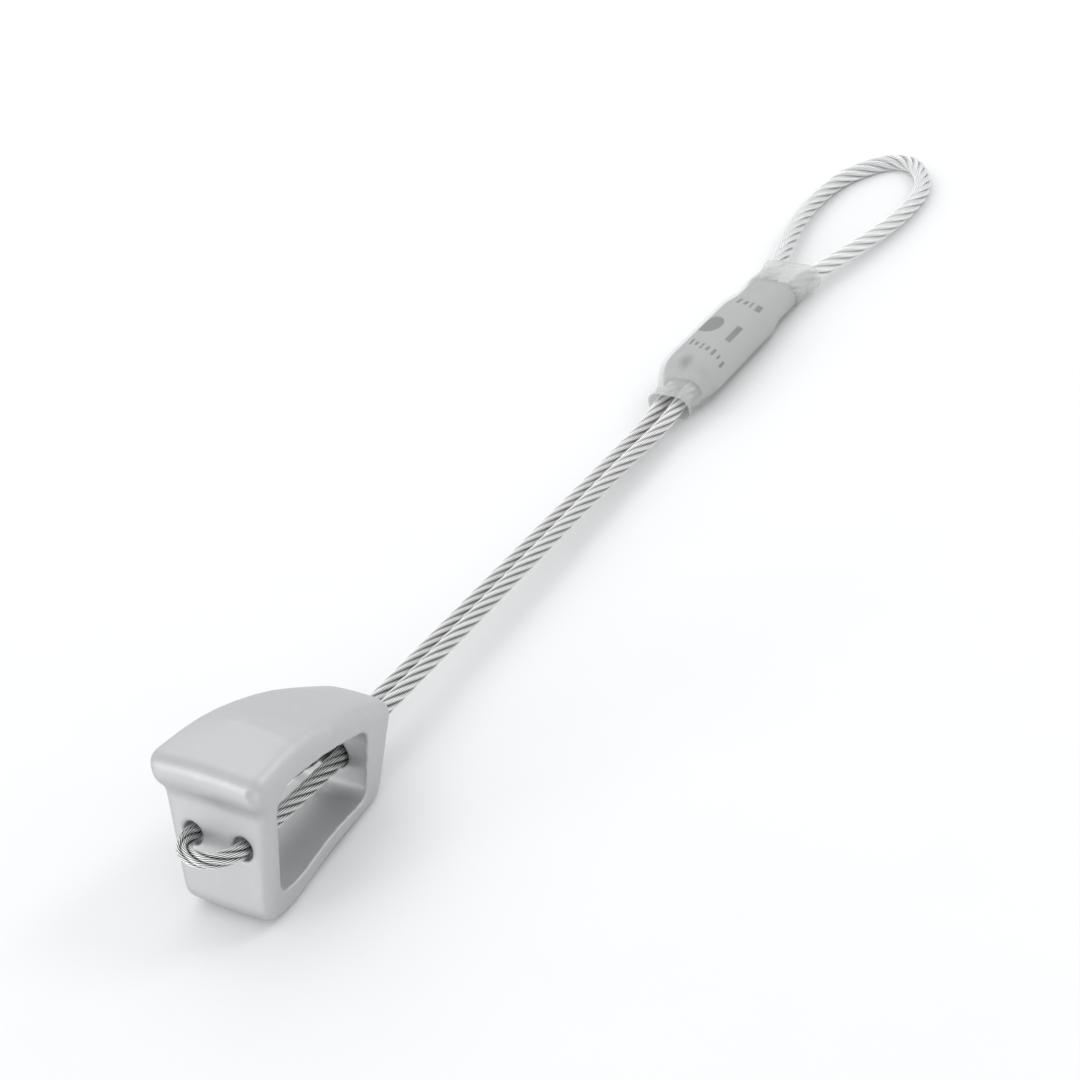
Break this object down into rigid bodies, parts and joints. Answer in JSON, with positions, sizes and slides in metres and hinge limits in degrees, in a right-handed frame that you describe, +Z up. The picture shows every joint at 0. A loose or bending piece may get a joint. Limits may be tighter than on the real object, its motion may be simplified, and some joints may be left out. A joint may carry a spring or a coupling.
{
  "type": "wired climbing nut",
  "caption": "Wedge-shaped aluminium chock for rock cracks, on a swaged wire-rope stem with a grey sleeve and a clip loop.",
  "frame": {"origin": "on the table, under the middle of the whole nut", "axes": "+X along the stem from the head to the clip loop, +Y across the head, +Z up from the table"},
  "size_m": [0.2678, 0.0272, 0.0311],
  "materials": {
    "head_alloy": "bead-blasted satin",
    "wire_rope": "bright drawn wire",
    "ferrule_metal": "dull pressed",
    "grey_sleeve": "matte with printed marks",
    "clear_sleeve": "milky and glossy"
  },
  "bodies": {
    "head": {"head": "head_alloy", "bight_wire": "wire_rope"},
    "stem_lower": {"lower_stem_wire_left": "wire_rope", "lower_stem_wire_right": "wire_rope"},
    "stem_upper": {"upper_stem_wire_left": "wire_rope", "upper_stem_wire_right": "wire_rope", "loop_tail_wire": "wire_rope", "ferrule": "ferrule_metal", "id_sleeve": "grey_sleeve", "clear_tube": "clear_sleeve"},
    "loop": {"clip_loop_wire": "wire_rope"}
  },
  "joints": [
    {"name": "head_flex", "type": "hinge", "parent": "head", "child": "stem_lower", "pos_m": [-0.08684, 0, 0.00929], "axis": [0, 1, 0], "range_deg": [-30, 30], "stiffness_Nm_per_rad": 0.6},
    {"name": "stem_flex", "type": "hinge", "parent": "stem_lower", "child": "stem_upper", "pos_m": [-0.02991, 0, 0.00664], "axis": [0, 1, 0], "range_deg": [-45, 45], "stiffness_Nm_per_rad": 0.4},
    {"name": "loop_flex", "type": "hinge", "parent": "stem_upper", "child": "loop", "pos_m": [0.08009, 0, 0.00394], "axis": [0, 1, 0], "range_deg": [-30, 30], "stiffness_Nm_per_rad": 0.3}
  ]
}
